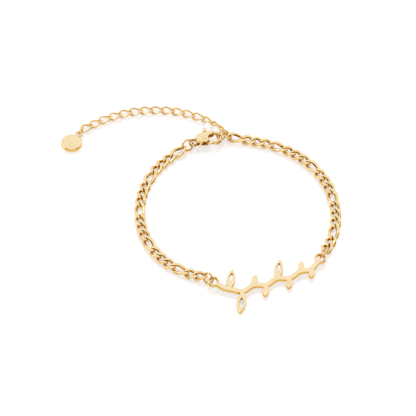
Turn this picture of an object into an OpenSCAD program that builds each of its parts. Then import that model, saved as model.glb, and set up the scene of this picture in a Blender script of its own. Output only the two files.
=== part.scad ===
// Nameplate bracelet: two halves of figaro chain, a cut ornamental plate, a lobster clasp
// and an extender chain with a round tag, all lying on a flat surface at z = 0.
// Millimetres. +X runs along the bracelet's long side, +Y points away from the plate's side.

/* [Chain] */
// Thickness of the wire of the main chain
link_wire = 0.76; // [0.6:0.02:0.78]
// Overall width of a main link
link_w = 3.06; // [3:0.02:3.2]
// Length that one short link adds to the chain
short_step = 2.75; // [2.7:0.05:2.9]
// Length that one long link adds to the chain
long_step = 4.3; // [4.2:0.05:4.6]
// Angle by which each end of a link is turned about the link's length
link_turn = -48; // [-52:1:-45]
// Links in each half of the chain
side_links = 19; // [15:4:19]
// Free play where two pieces hook together
play = 0.14; // [0.1:0.01:0.16]

/* [Rings] */
// Outer diameter of the ring in the clasp's eye
clasp_ring_d = 3.9; // [3.8:0.1:4.2]
// Wire of the ring in the clasp's eye
clasp_ring_wire = 0.6; // [0.5:0.05:0.7]
// Outer diameter of the two rings in the nameplate's eyelets
plate_ring_d = 3.7; // [3.7:0.1:4]
// Wire of the two rings in the nameplate's eyelets
plate_ring_wire = 0.6; // [0.5:0.05:0.65]
// Outer diameter of the ring in the clasp's hook
hook_ring_d = 3.4; // [3.3:0.1:3.6]
// Wire of the ring in the clasp's hook
hook_ring_wire = 0.55; // [0.5:0.05:0.65]
// Outer diameter of the ring that joins chain, extender and hook ring
end_ring_d = 3.3; // [3.2:0.1:3.5]
// Wire of the ring that joins chain, extender and hook ring
end_ring_wire = 0.6; // [0.5:0.02:0.7]

/* [Nameplate] */
// Distance between the centres of the two eyelets
plate_span = 31; // [28:0.5:33]
// Thickness of the plate
plate_thick = 1.1; // [1:0.1:1.3]
// Width of the plate's main stroke
stroke_w = 1.3; // [1.1:0.1:1.5]
// Hole of an eyelet
eyelet_hole = 2; // [1.9:0.1:2.2]
// Width of the metal round an eyelet's hole
eyelet_band = 0.7; // [0.6:0.05:0.8]

/* [Clasp] */
// Thickness of the clasp
clasp_thick = 1.9; // [1.8:0.1:2]
// Length of the clasp from the centre of its eye to the end of its hook
clasp_len = 8.7; // [8.5:0.1:9]
// Width of the metal of the hook
hook_band = 0.95; // [0.9:0.05:1]
// Thickness of the lever
lever_thick = 0.62; // [0.5:0.02:0.7]
// Diameter of the rivet that the lever turns on
rivet_d = 0.66; // [0.6:0.02:0.7]

/* [Extender] */
// Links of the extender chain
extender_links = 15; // [8:1:18]
// Thickness of the wire of the extender chain
extender_wire = 0.5; // [0.4:0.02:0.55]
// Overall width of an extender link
extender_w = 2.7; // [2.6:0.05:2.9]
// Length that one extender link adds
extender_step = 3.15; // [2.9:0.05:3.2]

/* [Tag] */
// Diameter of the round tag
tag_d = 6; // [5:0.5:8]
// Thickness of the tag
tag_thick = 1.2; // [0.9:0.1:1.3]
// Outer diameter of the tag's ring
tag_ring_d = 2.8; // [2.7:0.1:3.2]
// Wire of the tag's ring
tag_ring_wire = 0.45; // [0.4:0.05:0.5]

/* [Hidden] */
gold = [0.9, 0.72, 0.42];
pale_gold = [0.95, 0.8, 0.52];

// Order of the closed loop, counter-clockwise from above, starting at the clasp's eye.
AT_CLASP_RING = 0;
AT_LEFT = 1;
AT_PLATE_RING_LEFT = AT_LEFT + side_links;
AT_PLATE = AT_PLATE_RING_LEFT + 1;
AT_PLATE_RING_RIGHT = AT_PLATE + 1;
AT_RIGHT = AT_PLATE_RING_RIGHT + 1;
AT_END_RING = AT_RIGHT + side_links;
AT_HOOK_RING = AT_END_RING + 1;
AT_CLASP = AT_HOOK_RING + 1;
LOOP_PIECES = AT_CLASP + 1;

// Heights of the middles of the pieces above the surface.
link_z = 0.9;
plate_z = 1.68;
clasp_z = 1.85;
clasp_ring_z = 1.4;
plate_ring_link_z = 1.55;
end_ring_link_z = 1.53;
end_ring_hook_z = 1.9;
end_ring_play = 0.3;
eye_play = 0.34;
plate_play = 0.36;
hook_play = 0.2;

// Rolls of the rings about the line of the chain.
clasp_ring_roll = 62;
plate_ring_roll = 64;
end_ring_roll = 36;
hook_ring_roll = -74;

// The loop's outline: the loop's radius at angle a is its size times 1 plus these waves.
// Columns: waves round the loop, share of the cosine, share of the sine.
OUTLINE = [
    [2, 0.0436, -0.0153],
    [3, -0.0028, -0.0133],
    [4, -0.0121, 0.0013],
    [5, 0.0004, 0.0022]
];
first_angle = 117.9;

// Clasp: u runs from the eye to the hook, v towards the hook's spine.
eye_hole = 1.6;
eye_band = 0.6;
eye_thick = 1;
hook_r = 0.264 * clasp_len;
hook_u = clasp_len - hook_r;
hook_thick = 1.2;
hook_tip_angle = -112;
hook_root_angle = 95;
hook_bevel = 0.28;
eye_bevel = 0.25;
mouth_r = hook_r - hook_band;
mouth_step = 0.04;
rivet_u = 0.408 * clasp_len;
rivet_v = 0.029 * clasp_len;
rivet_gap = 0.02;
head_rim = 0.2;
head_d = rivet_d + 2 * head_rim;
head_h = 0.2;
lever_play = 0.03;
slot_gap = 0.05;
hub_r = 0.109 * clasp_len;
gate_r = clasp_len / 3;
gate_w = 0.109 * clasp_len;
gate_root_w = 0.149 * clasp_len;
gate_root = clasp_len * [0, -0.017];
gate_bend = clasp_len * [0.138, -0.161];
gate_end = clasp_len * [0.27, -0.23];
seam = 0.06;
knob_at = clasp_len * [0.086, 0.35];
knob_angle = atan2(knob_at[1], knob_at[0]);
stem_w = 0.092 * clasp_len;
stem_angle_play = 3;
stem_spread = asin(stem_w / 2 / hub_r) + stem_angle_play;
lever_open = 25;
gate_slot_first = -100;
gate_slot_last = 12;
knob_d = 0.143 * clasp_len;
knob_thick = 1.5;

// The clasp's solid middle: centres and widths of the bars that fill it.
neck_at = clasp_len * [0.103, 0];
neck_w = 0.172 * clasp_len;
shoulder_at = clasp_len * [0.287, 0.064];
shoulder_w = 0.368 * clasp_len;
belly_at = [rivet_u, 0.066 * clasp_len];
belly_w = 0.425 * clasp_len;
spine_at = [rivet_u, 0.144 * clasp_len];
spine_w = 0.25 * clasp_len;
spine_end = [hook_u - hook_band / 10, hook_r - hook_band / 2];
spine_end_w = 0.86 * hook_band;
mouth_share = 0.85;

// Working length of each piece between the middles of the wires at its two ends.
link_mid_w = link_w - link_wire;
short_len = short_step + link_wire + play;
long_len = long_step + link_wire + play;
plate_len = plate_span + eyelet_hole + eyelet_band;
clasp_mid_len = clasp_len + (eye_hole + eye_band) / 2 - hook_band / 2;

function is_long(i) = i % 4 == 0;
function link_len(i) = is_long(i) ? long_len : short_len;
function from_clasp(j) = j < AT_PLATE ? j - AT_LEFT : side_links - 1 - (j - AT_RIGHT);

function piece_len(j) =
    j == AT_CLASP_RING ? clasp_ring_d - clasp_ring_wire :
    j == AT_PLATE_RING_LEFT || j == AT_PLATE_RING_RIGHT ? plate_ring_d - plate_ring_wire :
    j == AT_PLATE ? plate_len :
    j == AT_END_RING ? end_ring_d - end_ring_wire :
    j == AT_HOOK_RING ? hook_ring_d - hook_ring_wire :
    j == AT_CLASP ? clasp_mid_len :
    link_len(from_clasp(j));

// Metal at the end of piece j that comes first (last = 0) or last (last = 1) on the way round.
function end_wire(j, last) =
    j == AT_CLASP_RING ? clasp_ring_wire :
    j == AT_PLATE_RING_LEFT || j == AT_PLATE_RING_RIGHT ? plate_ring_wire :
    j == AT_PLATE ? eyelet_band :
    j == AT_END_RING ? end_ring_wire :
    j == AT_HOOK_RING ? hook_ring_wire :
    j == AT_CLASP ? (last == 1 ? eye_band : hook_band) :
    link_wire;

// Play of a round ring on the thick edge of the clasp or the plate.
function play_at(j) = j == AT_CLASP_RING ? eye_play : j == AT_CLASP ? hook_play : plate_play;

// Overlap of the working lengths of piece j - 1 and piece j where they hook together.
function lap(j) =
    let (before = (j + LOOP_PIECES - 1) % LOOP_PIECES, now = j % LOOP_PIECES)
    (end_wire(before, 1) + end_wire(now, 0)) / 2
        + (now == AT_END_RING || now == AT_HOOK_RING ? end_ring_play : play);

// Where a ring holds a round eyelet, the joint is the middle of the eyelet's hole.
function in_hole(j) =
    j == AT_CLASP_RING || j == AT_PLATE || j == AT_PLATE_RING_RIGHT || j == AT_CLASP;
function hole_at(j) = j == AT_CLASP_RING ? eye_hole : j == AT_CLASP ? 2 * mouth_r : eyelet_hole;

// Length by which piece j reaches past the joint n at one of its ends.
function reach(j, n) =
    let (here = n % LOOP_PIECES, metal = end_wire(j % LOOP_PIECES, n - j) / 2)
    !in_hole(here) ? lap(n) / 2 :
    j % LOOP_PIECES == AT_PLATE || j % LOOP_PIECES == AT_CLASP ? hole_at(here) / 2 + metal :
    play_at(here) + metal - hole_at(here) / 2;
function step_len(j) = piece_len(j) - reach(j, j) - reach(j, j + 1);

// Height of the joint between piece j - 1 and piece j.
function joint_z(j) =
    let (now = j % LOOP_PIECES)
    now == AT_CLASP_RING || now == AT_CLASP ? clasp_z :
    now == AT_LEFT ? clasp_ring_z :
    now == AT_PLATE_RING_LEFT || now == AT_RIGHT ? plate_ring_link_z :
    now == AT_PLATE || now == AT_PLATE_RING_RIGHT ? plate_z :
    now == AT_END_RING ? end_ring_link_z :
    now == AT_HOOK_RING ? end_ring_hook_z :
    link_z;
function flat_step(j) = sqrt(pow(step_len(j), 2) - pow(joint_z(j + 1) - joint_z(j), 2));

// How far a joint lies outside the plain outline, drawn out by the plate, extender and clasp.
// Columns: joint, distance.
PULLS = [
    [AT_PLATE, 1.4],
    [AT_PLATE_RING_RIGHT, 0.6],
    [AT_END_RING - 1, 0.3],
    [AT_END_RING, 0.72],
    [AT_HOOK_RING, 1.53],
    [AT_CLASP, 0.44],
    [LOOP_PIECES, 0.63],
    [AT_LEFT, 0.32]
];
function pulled(j) =
    [for (row = PULLS) row[0] == j || row[0] == j + LOOP_PIECES ? row[1] : 0] * [for (row = PULLS) 1];

// The outline, and the walk of the joints along it.
function wave_sum(a) =
    [for (row = OUTLINE) row[1] * cos(row[0] * a) + row[2] * sin(row[0] * a)]
    * [for (row = OUTLINE) 1];
function on_outline(size, a, j) =
    (size * (1 + wave_sum(a)) + pulled(j)) * [cos(a), sin(a)];
fitting_tries = 8;
function turn_for(size, a, j, guess, tries) =
    tries == 0 ? guess :
    let (got = norm(on_outline(size, a + guess, j + 1) - on_outline(size, a, j)))
    turn_for(size, a, j, guess * flat_step(j) / got, tries - 1);
function walk(size) = [
    for (
        j = 0, a = first_angle;
        j <= LOOP_PIECES;
        a = a + turn_for(size, a, j, flat_step(j) / size * 180 / PI, fitting_tries), j = j + 1
    ) a
];
function walked(size) = walk(size)[LOOP_PIECES] - first_angle;
function closing_size(size, tries) =
    tries == 0 ? size : closing_size(size * walked(size) / 360, tries - 1);
all_steps = [for (j = [0:LOOP_PIECES - 1]) step_len(j)];
first_size = all_steps * [for (step = all_steps) 1] / (2 * PI);
loop_size = closing_size(first_size, fitting_tries);
joint_angles = walk(loop_size);

// Centre of the loop, set so that the middle of the whole box lies at the origin.
loop_centre = [10.96, -1.38];
function joint(j) =
    let (p = on_outline(loop_size, joint_angles[j], j) + loop_centre)
    [p[0], p[1], joint_z(j)];
function heading(a, b) = atan2(b[1] - a[1], b[0] - a[0]);
function pitch(a, b) = atan2(b[2] - a[2], norm([b[0] - a[0], b[1] - a[1]]));
function unit(v) = v / norm(v);
function flat(a) = [cos(a), sin(a), 0];

function piece_middle(j) =
    joint(j) + unit(joint(j + 1) - joint(j)) * (piece_len(j) / 2 - reach(j, j));
end_ring_at = piece_middle(AT_END_RING);

// The extender leaves the end ring and turns more and more towards the tag.
on_ring_angle = -58;
extender_first = 128.5;
extender_last = 216.5;
extender_bend = 0.8;
extender_first_roll = 72;
extender_rolled_links = 3;
extender_rolled_z = 1.44;
extender_lift = 0.19;
extender_first_play = 0.3;
extender_z = 0.79;
extender_end_z = 1.1;
extender_play = 0.16;
extender_len = extender_step + extender_wire + extender_play;
extender_mid_w = extender_w - extender_wire;
end_ring_r = (end_ring_d - end_ring_wire) / 2;
end_ring_heading = heading(joint(AT_END_RING), joint(AT_HOOK_RING));
extender_hook = end_ring_at
    + end_ring_r * cos(on_ring_angle) * flat(end_ring_heading)
    + end_ring_r * sin(on_ring_angle) * (
        cos(end_ring_roll) * flat(end_ring_heading + 90) + [0, 0, sin(end_ring_roll)]);
function extender_heading(i) =
    extender_first
        + (extender_last - extender_first) * pow(i / (extender_links - 1), extender_bend);
function extender_roll(i) = max(0, extender_first_roll * (1 - i / extender_rolled_links));
function extender_joint_z(i) =
    i == 0 ? extender_hook[2] + extender_lift : i == extender_links ? extender_end_z :
    extender_z + (extender_rolled_z - extender_z) * max(0, 1 - (i - 1) / extender_rolled_links);
first_lap = (end_ring_wire + extender_wire) / 2 + extender_first_play;
first_back = first_lap - (extender_wire + extender_play) / 2;
function extender_flat(i) =
    i == 0 ? [extender_hook[0], extender_hook[1], 0] - first_back * flat(extender_heading(0)) :
    extender_flat(i - 1) + extender_step * flat(extender_heading(i - 1));
function extender_joint(i) =
    let (p = extender_flat(i)) [p[0], p[1], extender_joint_z(i)];
function extender_middle(i) = (extender_joint(i) + extender_joint(i + 1)) / 2;

// The tag's ring, its loop and its disc follow on from the last link.
tag_heading = 238;
tag_ring_roll = 73;
tag_bevel = 0.2;
tab_hole = 1.3;
tab_band = 0.45;
tab_thick = 0.5;
tab_stand = 0.05;
tag_tab_u = tag_d / 2 + tab_hole / 2 + tab_stand;
tag_joint = extender_joint(extender_links);
tab_z = 0.9;
tab_bevel = 0.12;
tag_ring_play = 0.25;
tab_play = 0.55;
tag_lap = (tag_ring_wire + extender_wire) / 2 + tag_ring_play;
tag_ring_len = tag_ring_d - tag_ring_wire;
tag_ring_at = tag_joint + (tag_ring_len - tag_lap) / 2 * flat(tag_heading);
tag_tab_at = tag_ring_at
    + (tag_ring_len / 2 - tag_ring_wire / 2 - tab_play + tab_hole / 2) * flat(tag_heading);
tag_at = tag_tab_at + tag_tab_u * flat(tag_heading);

module put(at, roll, tip, head) {
    translate(at) rotate([roll, -tip, head]) children();
}
module at_piece(j, roll = 0) {
    put(piece_middle(j), roll, pitch(joint(j), joint(j + 1)), heading(joint(j), joint(j + 1)))
        children();
}

// The clasp lies level, its own X axis running from its eye to its hook.
module at_clasp() {
    put(joint(LOOP_PIECES), 0, 0, heading(joint(LOOP_PIECES), joint(AT_CLASP))) children();
}

// A ring rests on the surface unless its two neighbours hold it higher.
function ring_rest_z(outer, wire, roll, tip) =
    (outer - wire) / 2 * sqrt(1 - pow(cos(roll) * cos(tip), 2)) + wire / 2;
module ring_piece(j, roll, outer, wire) {
    middle = piece_middle(j);
    tip = pitch(joint(j), joint(j + 1));
    height = max(middle[2], ring_rest_z(outer, wire, roll, tip));
    put([middle[0], middle[1], height], roll, tip, heading(joint(j), joint(j + 1)))
        wire_round(outer, wire);
}

// A twisted wire link about the origin, its length along X.
link_fullness = 0.8;
wire_sides = 6;
long_stations = 18;
short_stations = 14;
function soft(v) = sign(v) * pow(abs(v), link_fullness);
function link_at(a, length, width, turned) =
    let (x = length / 2 * soft(cos(a)), y = width / 2 * soft(sin(a)), roll = turned * soft(cos(a)))
    [x, y * cos(roll), y * sin(roll)];
function ribbon_up(a, turned) = let (roll = turned * soft(cos(a))) [0, -sin(roll), cos(roll)];
function wire_ring(a, length, width, turned, wire, span) =
    let (
        along = unit(link_at(a + span, length, width, turned)
            - link_at(a - span, length, width, turned)),
        side = unit(cross(along, ribbon_up(a, turned))),
        up = cross(side, along)
    )
    [for (k = [0:wire_sides - 1])
        link_at(a, length, width, turned)
            + wire / 2 * (cos(360 * (k + 0.5) / wire_sides) * side
            + sin(360 * (k + 0.5) / wire_sides) * up)];
module wire_link(length, width, turned, wire, stations) {
    turn = 360 / stations;
    points = [for (i = [0:stations - 1])
        each wire_ring((i + 0.5) * turn, length, width, turned, wire, turn / 2)];
    count = len(points);
    faces = [for (i = [0:stations - 1], k = [0:wire_sides - 1])
        let (next = (k + 1) % wire_sides, here = i * wire_sides, there = here + wire_sides)
        each [
            [here + k, (there + next) % count, (there + k) % count],
            [here + k, here + next, (there + next) % count]
        ]];
    polyhedron(points, faces);
}
module chain_link(i) {
    color(gold)
        wire_link(link_len(i), link_mid_w, link_turn, link_wire,
            is_long(i) ? long_stations : short_stations);
}
// Metal round a hole: a flat band with bevelled edges, swept round the hole's centre.
module band_round(hole, width, thick, bevel, sweep = 360) {
    rotate_extrude(angle = sweep, $fn = 96) translate([hole / 2, 0]) polygon([
        [bevel, -thick / 2], [width - bevel, -thick / 2],
        [width, bevel - thick / 2], [width, thick / 2 - bevel],
        [width - bevel, thick / 2], [bevel, thick / 2],
        [0, thick / 2 - bevel], [0, bevel - thick / 2]
    ]);
}
module wire_round(outer, wire) {
    color(gold)
        rotate_extrude($fn = 64)
            translate([(outer - wire) / 2, 0]) circle(d = wire, $fn = 24);
}

// Nameplate: a wavy twig with slanting leaves, its ends on the lower sides of the two eyelets.
eyelet_bevel = 0.25;
eyelet_mid_r = (eyelet_hole + eyelet_band) / 2;
twig_angle = 45;
twig_len = plate_span - 2 * eyelet_mid_r * cos(twig_angle);
twig_end_v = -eyelet_mid_r * sin(twig_angle);
twig_drop = 3.1;
twig_rise = 1.1;
twig_wave = 0.5;
twig_corner = 6;
twig_points = 96;
first_leaf = -0.41;
leaf_pitch = 0.119;
leaf_len = 6.4;
leaf_w = 2.5;
leaf_up_angle = 66;
leaf_down_angle = 248;
plate_roll = 5.5;

// Lengths of the leaves along the twig as shares of the leaf length, up and down in turn.
LEAF_SHARES = [0.98, 1.1, 0.52, 0.6, 0.95, 0.55, 0.5, 0.5];
pierced_from = 0.8;
slim_leaf = 0.4;
slit_start = 0.3;
slit_len = 0.52;
slit_w = 0.4;
function twig_at(share) =
    let (body = 1 - pow(abs(2 * share), twig_corner))
    [
        twig_len * share,
        twig_end_v + body * (2 * twig_rise * share - twig_drop
            + twig_wave * cos(180 * (share - first_leaf) / leaf_pitch))
    ];
function side_of(p, i) =
    let (d = unit(p[min(i + 1, len(p) - 1)] - p[max(i - 1, 0)])) [-d[1], d[0]];
function ribbon(p, width) =
    let (n = len(p) - 1)
    concat(
        [for (i = [0:n]) p[i] + side_of(p, i) * width / 2],
        [for (i = [n:-1:0]) p[i] - side_of(p, i) * width / 2]
    );
module twig() {
    polygon(ribbon([for (i = [0:twig_points]) twig_at(i / twig_points - 0.5)], stroke_w));
    for (share = [-0.5, 0.5]) translate(twig_at(share)) circle(d = stroke_w, $fn = 48);
}
module lens_shape(length, width) {
    round_r = (length * length + width * width) / 4 / width;
    translate([length / 2, 0]) intersection() {
        translate([0, round_r - width / 2]) circle(r = round_r, $fn = 128);
        translate([0, width / 2 - round_r]) circle(r = round_r, $fn = 128);
    }
}
module leaf(share) {
    length = leaf_len * share;
    width = leaf_w * (slim_leaf + (1 - slim_leaf) * share);
    difference() {
        lens_shape(length, width);
        if (share > pierced_from)
            translate([length * slit_start, 0]) lens_shape(length * slit_len, width * slit_w);
    }
}
module plate_outline() {
    difference() {
        union() {
            twig();
            for (i = [0:len(LEAF_SHARES) - 1])
                translate(twig_at(first_leaf + i * leaf_pitch))
                    rotate(i % 2 == 0 ? leaf_up_angle : leaf_down_angle)
                        leaf(LEAF_SHARES[i]);
        }
        for (side = [-1, 1]) translate([side * plate_span / 2, 0])
            circle(r = eyelet_mid_r, $fn = 96);
    }
}
module nameplate() {
    color(pale_gold)
        at_piece(AT_PLATE, plate_roll) {
            slab(plate_thick) plate_outline();
            for (side = [-1, 1]) translate([side * plate_span / 2, 0, 0])
                band_round(eyelet_hole, eyelet_band, plate_thick, eyelet_bevel);
        }
}

// Clasp: outlines in its own plane, about the centre of its eye.
bar_share = 0.97;
module bar(from, to, w_from, w_to) {
    along = unit(to - from);
    side = bar_share / 2 * [-along[1], along[0]];
    polygon([
        from + side * w_from, from - side * w_from,
        to - side * w_to, to + side * w_to
    ]);
    translate(from) circle(d = w_from, $fn = 48);
    translate(to) circle(d = w_to, $fn = 48);
}
module sector(radius, from, to) {
    polygon(concat([[0, 0]], [for (n = [0:12]) let (a = from + (to - from) * n / 12)
        radius * [cos(a), sin(a)]]));
}
module mouth_outline() {
    translate([hook_u, 0]) circle(r = mouth_r + mouth_step, $fn = 96);
    translate([hook_u - mouth_r / 2, 0]) circle(r = mouth_r * mouth_share, $fn = 96);
}
module hook() {
    difference() {
        translate([hook_u, 0, 0]) rotate(hook_tip_angle)
            band_round(2 * mouth_r, hook_band, hook_thick, hook_bevel,
                hook_root_angle - hook_tip_angle);
        translate([rivet_u, rivet_v, -hook_thick])
            cylinder(r = gate_r + seam, h = 2 * hook_thick, $fn = 128);
    }
}
module web_outline() {
    difference() {
        union() {
            bar(neck_at, shoulder_at, neck_w, shoulder_w);
            bar(shoulder_at, belly_at, shoulder_w, belly_w);
            bar(spine_at, spine_end, spine_w, spine_end_w);
        }
        mouth_outline();
        circle(d = eye_hole + eye_band, $fn = 96);
    }
}
module lever_outline() {
    intersection() {
        union() {
            circle(r = hub_r, $fn = 64);
            bar(gate_root, gate_bend, gate_root_w, gate_w);
            bar(gate_bend, gate_end, gate_w, gate_w);
        }
        circle(r = gate_r, $fn = 128);
    }
    bar([0, 0], knob_at, stem_w, stem_w);
}
module slot_outline() {
    circle(r = hub_r + slot_gap, $fn = 64);
    sector(gate_r + seam / 2, gate_slot_first, gate_slot_last);
    sector(gate_r + seam / 2, knob_angle - stem_spread, knob_angle + lever_open + stem_spread);
}
module slab(thick) {
    translate([0, 0, -thick / 2]) linear_extrude(thick) children();
}
module pin(d, length) {
    cylinder(d = d, h = length, center = true, $fn = 48);
}
module at_rivet() {
    translate([rivet_u, rivet_v, 0]) children();
}
module clasp_body() {
    color(gold) at_clasp() difference() {
        union() {
            band_round(eye_hole, eye_band, eye_thick, eye_bevel);
            slab(clasp_thick) web_outline();
            hook();
        }
        at_rivet() slab(lever_thick + 2 * slot_gap) slot_outline();
        at_rivet() pin(rivet_d + 2 * rivet_gap, 2 * clasp_thick);
        for (side = [-1, 1])
            at_rivet() translate([0, 0, side * clasp_thick / 2]) pin(head_d + 2 * rivet_gap, 2 * head_h);
    }
}
module clasp_lever() {
    color(gold) at_clasp() at_rivet() difference() {
        union() {
            slab(lever_thick) lever_outline();
            translate(knob_at) pin(knob_d, knob_thick);
        }
        pin(rivet_d + 2 * lever_play, 2 * clasp_thick);
    }
}
module clasp_rivet() {
    color(pale_gold) at_clasp() at_rivet() {
        pin(rivet_d, clasp_thick);
        for (side = [-1, 1])
            translate([0, 0, side * (clasp_thick / 2 - head_h / 2 + rivet_gap)]) pin(head_d, head_h);
    }
}

// Extender chain: one node of separate links. The first one hooks the end ring.
module extender_chain() {
    color(gold) for (i = [0:extender_links - 1])
        put(extender_middle(i), extender_roll(i),
            pitch(extender_joint(i), extender_joint(i + 1)),
            heading(extender_joint(i), extender_joint(i + 1)))
            wire_link(extender_len, extender_mid_w, link_turn, extender_wire, short_stations);
}

// Tag: a round disc with a soldered loop, on its ring.
module tag_ring() {
    height = ring_rest_z(tag_ring_d, tag_ring_wire, tag_ring_roll, 0);
    put([tag_ring_at[0], tag_ring_at[1], height], tag_ring_roll, 0, tag_heading)
        wire_round(tag_ring_d, tag_ring_wire);
}
module tag_disc() {
    color(pale_gold) translate([tag_at[0], tag_at[1], 0]) rotate(tag_heading + 180) {
        rotate_extrude($fn = 96) polygon([
            [0, 0], [tag_d / 2 - tag_bevel, 0], [tag_d / 2, tag_bevel],
            [tag_d / 2, tag_thick - tag_bevel], [tag_d / 2 - tag_bevel, tag_thick], [0, tag_thick]
        ]);
        translate([tag_tab_u, 0, tab_z])
            band_round(tab_hole, tab_band, tab_thick, tab_bevel);
    }
}

for (i = [1:side_links]) {
    at_piece(AT_LEFT + i - 1) chain_link(i - 1);
    at_piece(AT_RIGHT + side_links - i) chain_link(i - 1);
}
nameplate();
ring_piece(AT_PLATE_RING_LEFT, plate_ring_roll, plate_ring_d, plate_ring_wire);  // plate_ring_left
ring_piece(AT_PLATE_RING_RIGHT, -plate_ring_roll, plate_ring_d, plate_ring_wire);  // plate_ring_right
clasp_body();
clasp_lever();
clasp_rivet();
ring_piece(AT_CLASP_RING, -clasp_ring_roll, clasp_ring_d, clasp_ring_wire);  // clasp_ring
ring_piece(AT_HOOK_RING, hook_ring_roll, hook_ring_d, hook_ring_wire);  // hook_ring
ring_piece(AT_END_RING, end_ring_roll, end_ring_d, end_ring_wire);  // end_ring
extender_chain();
tag_ring();
tag_disc();
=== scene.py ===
"""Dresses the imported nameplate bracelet: smooth links, rings, plate, clasp and tag, gold, floor, light."""

import math

import bmesh
import bpy
import numpy as np
from mathutils import Matrix, Vector
from mathutils.bvhtree import BVHTree


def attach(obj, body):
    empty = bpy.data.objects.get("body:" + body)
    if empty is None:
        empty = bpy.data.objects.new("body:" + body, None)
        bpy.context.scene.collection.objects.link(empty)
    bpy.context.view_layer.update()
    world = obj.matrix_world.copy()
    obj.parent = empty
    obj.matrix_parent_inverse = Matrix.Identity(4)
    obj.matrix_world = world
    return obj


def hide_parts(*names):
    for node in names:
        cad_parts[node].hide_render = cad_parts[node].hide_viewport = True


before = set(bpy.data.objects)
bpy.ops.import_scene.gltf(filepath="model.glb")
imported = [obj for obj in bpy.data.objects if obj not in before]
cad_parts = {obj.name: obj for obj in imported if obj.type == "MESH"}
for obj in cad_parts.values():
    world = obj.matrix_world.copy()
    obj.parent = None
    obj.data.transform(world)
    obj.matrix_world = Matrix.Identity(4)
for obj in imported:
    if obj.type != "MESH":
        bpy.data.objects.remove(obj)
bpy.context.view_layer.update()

MM = 0.001

# Camera: the photograph's angle, its middle on this point of the floor, in millimetres.
AIM_MM = (2.47, 0.16, 0.0)
ELEVATION_DEG = 52.0
DISTANCE_MM = 660.0
LENS_MM = 200.0
SENSOR_MM = 36.0
NEAR_CLIP_M = 0.01
FAR_CLIP_M = 20.0

# Links, in millimetres, measured between the middles of the wire, as in the CAD source.
LINK_MID_W = 2.3
SHORT_LEN = 3.65
LONG_LEN = 5.2
EXT_MID_W = 2.2
EXT_LEN = 3.81
# Roll of a link at its ends, and how full its outline is: 1 is an ellipse, less is squarer.
LINK_TURN_DEG = -48.0
LINK_FULLNESS = 0.8
# The smooth wire is slightly thicker than the faceted one, and is kept in the CAD solid's box.
SMOOTH_WIRE = 0.82
EXT_SMOOTH_WIRE = 0.56
# Height above the link's middle where its top is filed, and the slope left on the filed top.
FILED = 0.64
FILED_SLOPE = 0.1
# How far the middle of a link's long sides swells outwards and inwards.
SWELL_OUT = 0.14
SWELL_IN = 0.08
SIDE_LINKS = 19
LONG_EVERY = 4
LONG_STATIONS = 96
SHORT_STATIONS = 80
EXT_STATIONS = 72
LINK_SIDES = 20
EXT_SIDES = 14

# Outer diameter and wire of each jump ring, in millimetres, as in the CAD source.
RINGS = {
    "clasp_ring": (3.9, 0.6),
    "hook_ring": (3.4, 0.55),
    "end_ring": (3.3, 0.6),
    "plate_ring_left": (3.7, 0.6),
    "plate_ring_right": (3.7, 0.6),
    "tag_ring": (2.8, 0.45),
}
RING_WIRE_SHARE = 0.985
RING_CUT = 0.035
RING_CUT_DEG = 90.0
RING_TURNS = 96
RING_SIDES = 20

# Painted shade from 0 to 1: inside a link, on its lower side, inside a ring, and the extender's share.
PAINTED_INSIDE_SHADE = 1.0
PAINTED_UNDERSIDE_SHADE = 0.2
PAINTED_RING_SHADE = 0.55
PAINTED_EXT_SHADE = 0.35
# The painted shade inside a link is lighter by this share once it is this far from the link's end.
OPEN_LIGHT = 0.32
OPEN_REACH = 2.8
# Painted shade darkens a cast surface where other metal lies across a gap of up to this width.
GAP_REACH = 3.6
GAP_FADE = 0.35


def clamp(value):
    return min(1.0, max(0.0, value))


def camera():
    data = bpy.data.cameras.new("camera")
    data.lens = LENS_MM
    data.sensor_width = SENSOR_MM
    data.clip_start = NEAR_CLIP_M
    data.clip_end = FAR_CLIP_M
    data.dof.use_dof = False
    cam = bpy.data.objects.new("camera", data)
    bpy.context.scene.collection.objects.link(cam)
    rise = math.radians(ELEVATION_DEG)
    aim = Vector(AIM_MM) * MM
    back = Vector((0.0, -math.cos(rise), math.sin(rise)))
    cam.location = aim + back * DISTANCE_MM * MM
    cam.rotation_euler = (math.pi / 2 - rise, 0.0, 0.0)
    bpy.context.scene.camera = cam


# Materials. Noise scales are per metre.
EDGE_TINT = (0.95, 0.62, 0.16)
# Painted shade: the base colour is multiplied by these, from none, through deeper gold, to dark brown.
PAINTED_SHADE_TINTS = [
    (0.0, (1.0, 1.0, 1.0)),
    (0.5, (1.0, 0.8, 0.34)),
    (1.0, (0.2, 0.055, 0.0)),
]
DULL_SHARES = (0.95, 0.92, 0.84)
DULL_UP_TO = 0.3
FULL_FROM = 0.72
TONE_SCALE = 190.0
# Noise patches that make the painted shade uneven.
SHADE_PATCH_SCALE = 900.0
SHADE_PATCH_RANGE = (0.42, 0.58)
POLISH_SCALE = 620.0
GRAIN_SCALE = 5200.0


def new_material(name):
    mat = bpy.data.materials.new(name)
    mat.use_nodes = True
    nodes, links = mat.node_tree.nodes, mat.node_tree.links
    return mat, nodes, links, nodes["Principled BSDF"]


def noise(nodes, links, where, scale, detail):
    """Noise that stays with the piece."""
    node = nodes.new("ShaderNodeTexNoise")
    node.inputs["Scale"].default_value = scale
    node.inputs["Detail"].default_value = detail
    links.new(where.outputs["Object"], node.inputs["Vector"])
    return node.outputs["Fac"]


def ramp(nodes, links, value, stops):
    """The colour that the stops, each a position and a colour, give to a value."""
    node = nodes.new("ShaderNodeValToRGB")
    for position, _ in stops[1:-1]:
        node.color_ramp.elements.new(position)
    for element, (position, colour) in zip(node.color_ramp.elements, stops):
        element.position = position
        element.color = (*colour, 1)
    links.new(value, node.inputs["Fac"])
    return node.outputs["Color"]


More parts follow.
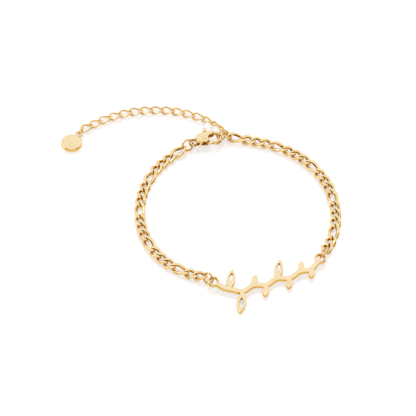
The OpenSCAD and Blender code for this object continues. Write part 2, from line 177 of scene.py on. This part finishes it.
def spread(nodes, links, value, source, target, shape="LINEAR"):
    """Maps a value from one range to another and keeps it there."""
    node = nodes.new("ShaderNodeMapRange")
    node.interpolation_type = shape
    for name, number in zip(("From Min", "From Max", "To Min", "To Max"), (*source, *target)):
        node.inputs[name].default_value = number
    links.new(value, node.inputs["Value"])
    return node.outputs["Result"]


def combined(nodes, links, operation, first, second):
    """Two values joined by a sum, a product or the like."""
    node = nodes.new("ShaderNodeMath")
    node.operation = operation
    links.new(first, node.inputs[0])
    links.new(second, node.inputs[1])
    return node.outputs["Value"]


def bump(nodes, links, height, distance_mm, below=None):
    """A relief of the given depth, on top of the relief below."""
    node = nodes.new("ShaderNodeBump")
    node.inputs["Strength"].default_value = 1.0
    node.inputs["Distance"].default_value = distance_mm * MM
    links.new(height, node.inputs["Height"])
    if below is not None:
        links.new(below, node.inputs["Normal"])
    return node.outputs["Normal"]


def gold(name, colour, rough, ripple, grain, shade_patchiness=0.0):
    """Polished gold plating: slight tone drift, uneven polish, soft ripples and fine grain.
    Painted shade makes it deeper and browner where its painted-shade attribute is high.
    The share given last makes that painted shade uneven in patches."""
    mat, nodes, links, shader = new_material(name)
    shader.inputs["Metallic"].default_value = 1.0
    shader.inputs["Specular Tint"].default_value = (*EDGE_TINT, 1)
    where = nodes.new("ShaderNodeTexCoord")

    drift = noise(nodes, links, where, TONE_SCALE, 3.0)
    dull = tuple(c * share for c, share in zip(colour, DULL_SHARES))
    tone = ramp(nodes, links, drift, [(DULL_UP_TO, dull), (FULL_FROM, colour)])

    # Painted shade: the painted-shade attribute, made patchy by noise, picks a deeper gold or brown that
    # multiplies the base colour.
    painted_shade = nodes.new("ShaderNodeAttribute")
    painted_shade.attribute_name = "painted_shade"
    shade_patches = noise(nodes, links, where, SHADE_PATCH_SCALE, 1.0)
    uneven = spread(nodes, links, shade_patches, SHADE_PATCH_RANGE, (1.0 - shade_patchiness, 1.0 + shade_patchiness))
    shade_share = combined(nodes, links, "MULTIPLY", painted_shade.outputs["Fac"], uneven)
    depth = ramp(nodes, links, shade_share, PAINTED_SHADE_TINTS)

    shade_multiplied = nodes.new("ShaderNodeMixRGB")
    shade_multiplied.blend_type = "MULTIPLY"
    shade_multiplied.inputs["Fac"].default_value = 1.0
    links.new(tone, shade_multiplied.inputs["Color1"])
    links.new(depth, shade_multiplied.inputs["Color2"])
    links.new(shade_multiplied.outputs["Color"], shader.inputs["Base Color"])

    polish = noise(nodes, links, where, POLISH_SCALE, 4.0)
    links.new(spread(nodes, links, polish, (0.0, 1.0), rough), shader.inputs["Roughness"])
    fine = noise(nodes, links, where, GRAIN_SCALE, 2.0)
    soft = bump(nodes, links, polish, ripple)
    links.new(bump(nodes, links, fine, grain, soft), shader.inputs["Normal"])
    return mat


CHAIN_GOLD = gold("chain_gold", (0.92, 0.75, 0.46), (0.08, 0.18), 0.006, 0.0006, 0.3)
PLATE_GOLD = gold("plate_gold", (0.92, 0.76, 0.49), (0.16, 0.26), 0.004, 0.001)
CLASP_GOLD = gold("clasp_gold", (0.92, 0.75, 0.46), (0.12, 0.24), 0.008, 0.001, 0.9)

# Cast pieces: CAD node, gold, slot, body, voxel in millimetres, rounds of smoothing and the
# painted shade on upright walls.
CAST_PIECES = [
    ("nameplate", PLATE_GOLD, "plate_gold", "root", 0.075, 14, 0.55),
    ("clasp_body", CLASP_GOLD, "clasp_gold", "root", 0.055, 14, 0.55),
    ("clasp_lever", CLASP_GOLD, "clasp_gold", "lever", 0.045, 8, 0.4),
    ("clasp_rivet", CLASP_GOLD, "clasp_gold", "root", 0.03, 6, 0.0),
    ("tag_disc", PLATE_GOLD, "plate_gold", "root", 0.06, 10, 0.5),
]


# Pieces.
def set_painted_shade(mesh, values):
    """Stores the painted shade at each corner, from 0 to 1."""
    mesh.attributes.new("painted_shade", "FLOAT", "POINT").data.foreach_set("value", values)


def add_piece(name, verts, faces, mat, slot, body, *nodes, painted_shade=None):
    """A smooth mesh in millimetres, riding on a body and standing for CAD nodes."""
    mesh = bpy.data.meshes.new(name)
    mesh.from_pydata([tuple(c * MM for c in v) for v in verts], [], faces)
    mesh.materials.append(mat)
    mesh.polygons.foreach_set("use_smooth", [True] * len(mesh.polygons))
    if painted_shade is not None:
        set_painted_shade(mesh, painted_shade)
    mesh.update()
    piece = bpy.data.objects.new(name, mesh)
    bpy.context.scene.collection.objects.link(piece)
    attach(piece, body)
    if nodes:
        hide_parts(*nodes)
    return piece


def points_of(node):
    """The distinct corners of a CAD node's mesh, in millimetres."""
    co = np.array([v.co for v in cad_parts[node].data.vertices], float) / MM
    return np.unique(co.round(5), axis=0)


def islands_of(node):
    """The node's loose solids, each as an array of its corners in millimetres."""
    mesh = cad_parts[node].data
    co = np.array([v.co for v in mesh.vertices], float) / MM
    _, index = np.unique(co.round(4), axis=0, return_inverse=True)
    index = index.ravel()
    parent = list(range(index.max() + 1))

    def root(i):
        while parent[i] != i:
            parent[i] = parent[parent[i]]
            i = parent[i]
        return i

    for edge in mesh.edges:
        a, b = root(index[edge.vertices[0]]), root(index[edge.vertices[1]])
        parent[a] = b
    groups = {}
    for i in range(len(co)):
        groups.setdefault(root(index[i]), {})[index[i]] = co[i]
    return [np.array(list(g.values())) for g in groups.values()]


def link_frame(points):
    """Centre and axes of a link: X along it, Y across its middle, Z up. Half a turn is no change."""
    centre = points.mean(0)
    q = points - centre
    _, _, axes = np.linalg.svd(q, full_matrices=False)
    x = axes[0]
    along = q @ x
    middle = q[np.abs(along) < 0.3 * np.abs(along).max()]
    middle = middle - np.outer(middle @ x, x)
    _, _, across = np.linalg.svd(middle, full_matrices=False)
    y = across[0] - (across[0] @ x) * x
    y /= np.linalg.norm(y)
    z = np.cross(x, y)
    return centre, np.array([x, y, z] if z[2] > 0 else [x, -y, -z])


def fuller(v):
    """A sine or cosine made squarer, for the link's outline and roll."""
    return math.copysign(abs(v) ** LINK_FULLNESS, v)


def link_mesh(length, width, wire, stations, sides, flat=None, out=0.0, inn=0.0):
    """Corners, faces and painted shade of a twisted wire link about the origin. Its long sides swell
    outwards by out and inwards by inn, and above the height flat its top is filed to an almost
    level facet."""
    turn = math.radians(LINK_TURN_DEG)

    def at(a):
        roll = turn * fuller(math.cos(a))
        y = width / 2 * fuller(math.sin(a))
        return np.array([length / 2 * fuller(math.cos(a)), y * math.cos(roll), y * math.sin(roll)])

    verts, painted_shade = [], []
    for i in range(stations):
        a = 2 * math.pi * (i + 0.5) / stations
        step = math.pi / stations
        along = at(a + step) - at(a - step)
        along /= np.linalg.norm(along)
        roll = turn * fuller(math.cos(a))
        side = np.cross(along, np.array([0.0, -math.sin(roll), math.cos(roll)]))
        side /= np.linalg.norm(side)
        up = np.cross(side, along)
        outward = math.copysign(1.0, side @ at(a))
        swell = abs(math.sin(a)) ** 3
        from_end = length / 2 - abs(at(a)[0])
        end_shade_share = 1.0 - OPEN_LIGHT * min(1.0, from_end / OPEN_REACH)
        for k in range(sides):
            b = 2 * math.pi * k / sides
            extra = swell * (out if math.cos(b) * outward > 0 else inn)
            p = at(a) + (wire / 2 + extra) * math.cos(b) * side + wire / 2 * math.sin(b) * up
            if flat is not None and p[2] > flat:
                p[2] = flat + FILED_SLOPE * (p[2] - flat)
            verts.append(p)
            # Painted shade: darkest on the inner side of the wire, eased where the link opens wide, and a
            # lighter painted shade on its lower side and flanks.
            inner_shade = clamp((-math.cos(b) * outward - 0.15) / 0.5)
            below = PAINTED_UNDERSIDE_SHADE * clamp((0.75 - math.sin(b)) / 0.5)
            painted_shade.append(max(PAINTED_INSIDE_SHADE * inner_shade * end_shade_share, below))
    n = len(verts)
    faces = [
        (i * sides + k, i * sides + (k + 1) % sides,
         (i * sides + sides + (k + 1) % sides) % n, (i * sides + sides + k) % n)
        for i in range(stations) for k in range(sides)
    ]
    return np.array(verts), faces, painted_shade


def placed(verts, centre, axes, points):
    """Moves a link to its place, kept inside the box of its CAD solid."""
    return np.clip(verts @ axes + centre, points.min(0), points.max(0))


def chain():
    filing = (FILED, SWELL_OUT, SWELL_IN)
    long_shape = link_mesh(LONG_LEN, LINK_MID_W, SMOOTH_WIRE, LONG_STATIONS, LINK_SIDES, *filing)
    short_shape = link_mesh(SHORT_LEN, LINK_MID_W, SMOOTH_WIRE, SHORT_STATIONS, LINK_SIDES, *filing)
    for side in ("left", "right"):
        for i in range(SIDE_LINKS):
            node = f"{side}_link_{i + 1:02d}"
            verts, faces, painted_shade = long_shape if i % LONG_EVERY == 0 else short_shape
            points = points_of(node)
            add_piece("smooth_" + node, placed(verts, *link_frame(points), points), faces,
                      CHAIN_GOLD, "chain_gold", "root", node, painted_shade=painted_shade)


def extender():
    verts, faces, painted_shade = link_mesh(EXT_LEN, EXT_MID_W, EXT_SMOOTH_WIRE, EXT_STATIONS, EXT_SIDES)
    all_verts, all_faces, all_painted_shade = [], [], []
    for points in islands_of("extender_chain"):
        start = len(all_verts)
        all_verts.extend(placed(verts, *link_frame(points), points))
        all_faces.extend(tuple(start + c for c in f) for f in faces)
        # Painted shade, weaker on the extender's thin links.
        all_painted_shade.extend(PAINTED_EXT_SHADE * r for r in painted_shade)
    add_piece("smooth_extender", all_verts, all_faces, CHAIN_GOLD, "chain_gold", "root",
              "extender_chain", painted_shade=all_painted_shade)


def fit_circle_centre(points, x, y, normal):
    """Centre of the ring whose surface the points lie on."""
    mean = (points.min(0) + points.max(0)) / 2
    for _ in range(3):
        u, v = (points - mean) @ x, (points - mean) @ y
        h = (points - mean) @ normal
        mean = mean + (u.max() + u.min()) / 2 * x + (v.max() + v.min()) / 2 * y
        mean = mean + (h.max() + h.min()) / 2 * normal
    return mean


def ring(node, outer, wire):
    """A round jump ring where the CAD ring lies, with the fine cut that such a ring has."""
    points = points_of(node)
    _, _, axes = np.linalg.svd(points - points.mean(0), full_matrices=False)
    normal = axes[2] if axes[2][2] > 0 else -axes[2]
    x = np.cross([0.0, 0.0, 1.0], normal)
    x /= np.linalg.norm(x)
    y = np.cross(normal, x)
    centre = fit_circle_centre(points, x, y, normal)
    r, w = (outer - wire) / 2, wire / 2 * RING_WIRE_SHARE
    gap = RING_CUT / r
    start = math.radians(RING_CUT_DEG) + gap / 2
    verts, painted_shade = [], []
    for i in range(RING_TURNS + 1):
        a = start + (2 * math.pi - gap) * i / RING_TURNS
        out = math.cos(a) * x + math.sin(a) * y
        for k in range(RING_SIDES):
            b = 2 * math.pi * k / RING_SIDES
            verts.append(centre + (r + w * math.cos(b)) * out + w * math.sin(b) * normal)
            # Painted shade: darkest on the inner side of the ring wire, none on its outer side.
            painted_shade.append(PAINTED_RING_SHADE * clamp((0.5 - math.cos(b)) / 1.2))
    n = RING_SIDES
    faces = [
        (i * n + k, (i + 1) * n + k, (i + 1) * n + (k + 1) % n, i * n + (k + 1) % n)
        for i in range(RING_TURNS) for k in range(n)
    ]
    faces.append(tuple(range(n)))
    faces.append(tuple(reversed(range(RING_TURNS * n, RING_TURNS * n + n))))
    add_piece("round_" + node, verts, faces, CHAIN_GOLD, "chain_gold", "root", node,
              painted_shade=painted_shade)


def painted_wall_shade(mesh, edge):
    """Painted shade at each corner: the share edge on an upright wall, and more where
    the surface looks across a narrow gap at other metal."""
    tree = BVHTree.FromPolygons([v.co for v in mesh.vertices],
                                [p.vertices for p in mesh.polygons])
    values = []
    for v in mesh.vertices:
        upright = clamp((0.55 - abs(v.normal.z)) / 0.4)
        gap = tree.ray_cast(v.co + 0.01 * MM * v.normal, v.normal, GAP_REACH * MM)[3]
        near = 0.0 if gap is None else 1.0 - GAP_FADE * gap / (GAP_REACH * MM)
        values.append(max(edge * upright, near))
    return values


def softened(node, mat, slot, body, voxel, rounds, edge):
    """A copy of a CAD node with its edges rounded over, as cast and polished metal has, and
    painted shade of the share edge on its upright walls. The rounding works at a scale of 1 to the
    millimetre, since the remesh is made for sizes near 1."""
    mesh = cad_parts[node].data.copy()
    piece = bpy.data.objects.new("cast_" + node, mesh)
    bpy.context.scene.collection.objects.link(piece)
    work = bmesh.new()
    work.from_mesh(mesh)
    bmesh.ops.remove_doubles(work, verts=work.verts, dist=1e-6)
    work.to_mesh(mesh)
    work.free()
    mesh.transform(Matrix.Scale(1 / MM, 4))
    remesh = piece.modifiers.new("remesh", "REMESH")
    remesh.mode = "VOXEL"
    remesh.voxel_size = voxel
    smooth = piece.modifiers.new("smooth", "SMOOTH")
    smooth.factor = 0.5
    smooth.iterations = rounds
    bpy.context.view_layer.update()
    done = bpy.data.meshes.new_from_object(
        piece.evaluated_get(bpy.context.evaluated_depsgraph_get()))
    piece.modifiers.clear()
    piece.data = done
    bpy.data.meshes.remove(mesh)
    done.name = piece.name
    done.transform(Matrix.Scale(MM, 4))
    done.materials.clear()
    done.materials.append(mat)
    done.polygons.foreach_set("use_smooth", [True] * len(done.polygons))
    done.update()
    # Painted shade on upright walls and where the surface faces other metal across a narrow gap.
    set_painted_shade(done, painted_wall_shade(done, edge))
    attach(piece, body)
    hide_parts(node)


# Surroundings.
FLOOR_HALF_M = 2.0
FLOOR_DROP_M = 0.00002
FLOOR_GREY = (0.3, 0.3, 0.3, 1)
FLOOR_ROUGHNESS = 0.06
FLOOR_IOR = 2.4
FLOOR_GLOW_COLOUR = (0.94, 0.96, 1.0, 1)
FLOOR_GLOW = 0.57


def floor():
    """A glossy white table that keeps its white beside the pieces and mirrors them faintly."""
    mat, _, _, shader = new_material("studio_floor")
    shader.inputs["Base Color"].default_value = FLOOR_GREY
    shader.inputs["Roughness"].default_value = FLOOR_ROUGHNESS
    shader.inputs["IOR"].default_value = FLOOR_IOR
    shader.inputs["Emission Color"].default_value = FLOOR_GLOW_COLOUR
    shader.inputs["Emission Strength"].default_value = FLOOR_GLOW
    mesh = bpy.data.meshes.new("studio_floor")
    half = FLOOR_HALF_M
    mesh.from_pydata([(-half, -half, 0), (half, -half, 0), (half, half, 0), (-half, half, 0)],
                     [], [(0, 1, 2, 3)])
    mesh.materials.append(mat)
    obj = bpy.data.objects.new("studio_floor", mesh)
    obj.location.z = -FLOOR_DROP_M
    bpy.context.scene.collection.objects.link(obj)


# The studio round the table. Bright panels: direction, half angle and brightness of each.
PANELS = [
    ((0.0, 0.5, 0.87), 57.0, 1.0),
    ((-0.87, 0.3, 0.3), 26.0, 0.8),
    ((0.87, 0.4, 0.2), 30.0, 0.9),
    ((0.0, -0.88, 0.47), 36.0, 0.6),
]
PANEL_EDGE_DEG = 12.0
# Colour of the studio from its unlit parts to a full panel.
STUDIO_TONES = [
    (0.0, (0.22, 0.1, 0.02)),
    (0.3, (0.48, 0.28, 0.08)),
    (0.65, (0.82, 0.66, 0.38)),
    (1.0, (1.0, 1.0, 1.0)),
]
STUDIO_STRENGTH = 1.05
# Lamps: place and size in metres, power in watts, and whether the gold mirrors them.
LAMPS = {
    "key": ((-0.55, 0.1, 0.55), 0.12, 0.7, True),
    "floor_fill": ((0.0, 0.2, 1.0), 1.2, 7.0, False),
}


def studio():
    """Surroundings that the gold mirrors: each direction takes its brightest panel's share."""
    world = bpy.data.worlds.new("studio")
    bpy.context.scene.world = world
    world.use_nodes = True
    nodes, links = world.node_tree.nodes, world.node_tree.links
    back = nodes["Background"]
    where = nodes.new("ShaderNodeTexCoord")
    bright = None
    for direction, half_angle, level in PANELS:
        towards = nodes.new("ShaderNodeVectorMath")
        towards.operation = "DOT_PRODUCT"
        towards.inputs[1].default_value = Vector(direction).normalized()
        links.new(where.outputs["Generated"], towards.inputs[0])
        edge = tuple(math.cos(math.radians(half_angle + turn))
                     for turn in (PANEL_EDGE_DEG, -PANEL_EDGE_DEG))
        share = spread(nodes, links, towards.outputs["Value"], edge, (0.0, level), "SMOOTHSTEP")
        bright = share if bright is None else combined(nodes, links, "MAXIMUM", bright, share)
    links.new(ramp(nodes, links, bright, STUDIO_TONES), back.inputs["Color"])
    back.inputs["Strength"].default_value = STUDIO_STRENGTH


def lamp(name, location, size, power, mirrored):
    """A square lamp that shines at the middle of the table."""
    data = bpy.data.lights.new(name, "AREA")
    data.size = size
    data.energy = power
    obj = bpy.data.objects.new(name, data)
    obj.visible_glossy = mirrored
    obj.location = location
    obj.rotation_euler = (-Vector(location)).to_track_quat("-Z", "Y").to_euler()
    bpy.context.scene.collection.objects.link(obj)


camera()
studio()
for lamp_name, lamp_setting in LAMPS.items():
    lamp(lamp_name, *lamp_setting)
floor()
chain()
extender()
for ring_node, (ring_outer, ring_wire) in RINGS.items():
    ring(ring_node, ring_outer, ring_wire)
for cast_piece in CAST_PIECES:
    softened(*cast_piece)

bpy.context.scene.view_settings.view_transform = "Standard"
